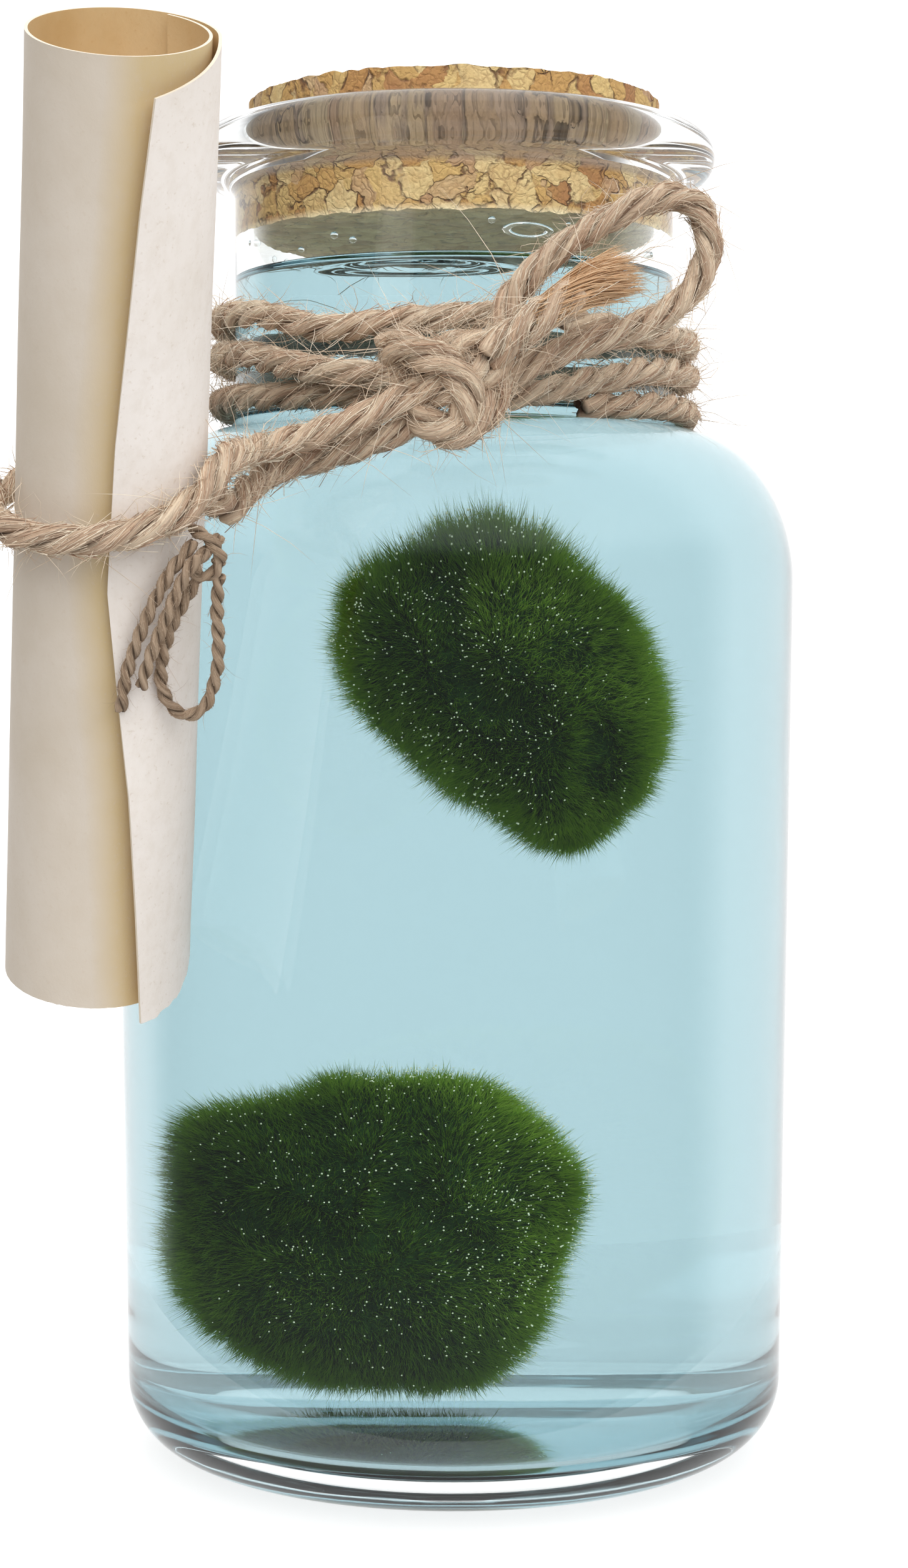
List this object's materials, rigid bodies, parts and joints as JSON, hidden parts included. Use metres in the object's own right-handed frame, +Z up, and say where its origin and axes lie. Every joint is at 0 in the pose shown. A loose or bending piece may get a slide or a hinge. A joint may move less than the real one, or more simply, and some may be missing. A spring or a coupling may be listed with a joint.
{
  "type": "marimo moss ball jar",
  "caption": "Marimo moss balls in a corked clear glass jar of water, with jute twine round its neck that holds a rolled sheet of paper.",
  "frame": {"origin": "centre of the jar's flat base", "axes": "+Z up along the jar's axis; -Y is the front, where the twine's knot is; the paper scroll is at -X"},
  "size_m": [0.0762, 0.1015, 0.1375],
  "materials": {
    "clear_glass": "clear, smooth, very slightly green",
    "water": "clear water, very pale blue",
    "pressed_cork": "pressed cork granules, dry",
    "moss": "fine wet filaments, dark inside and yellow-green at the tips",
    "jute": "three-strand jute, hairy",
    "thin_jute": "thin two-strand jute, brown",
    "parchment": "matt parchment paper, golden inside"
  },
  "bodies": {
    "root": {"glass_jar": "clear_glass", "cork_stopper": "pressed_cork", "water_front": "water", "water_back": "water", "marimo_upper": "moss", "marimo_lower": "moss", "neck_twine_upper": "jute", "neck_twine_middle": "jute", "neck_twine_lower": "jute", "twine_knot": "jute", "bow_loop": "jute", "frayed_tail": "jute", "scroll_lead": "jute", "paper_scroll": "parchment", "tie_knot": "thin_jute", "tie_loop": "thin_jute", "tie_tail_left": "thin_jute", "tie_tail_right": "thin_jute"}
  },
  "joints": []
}
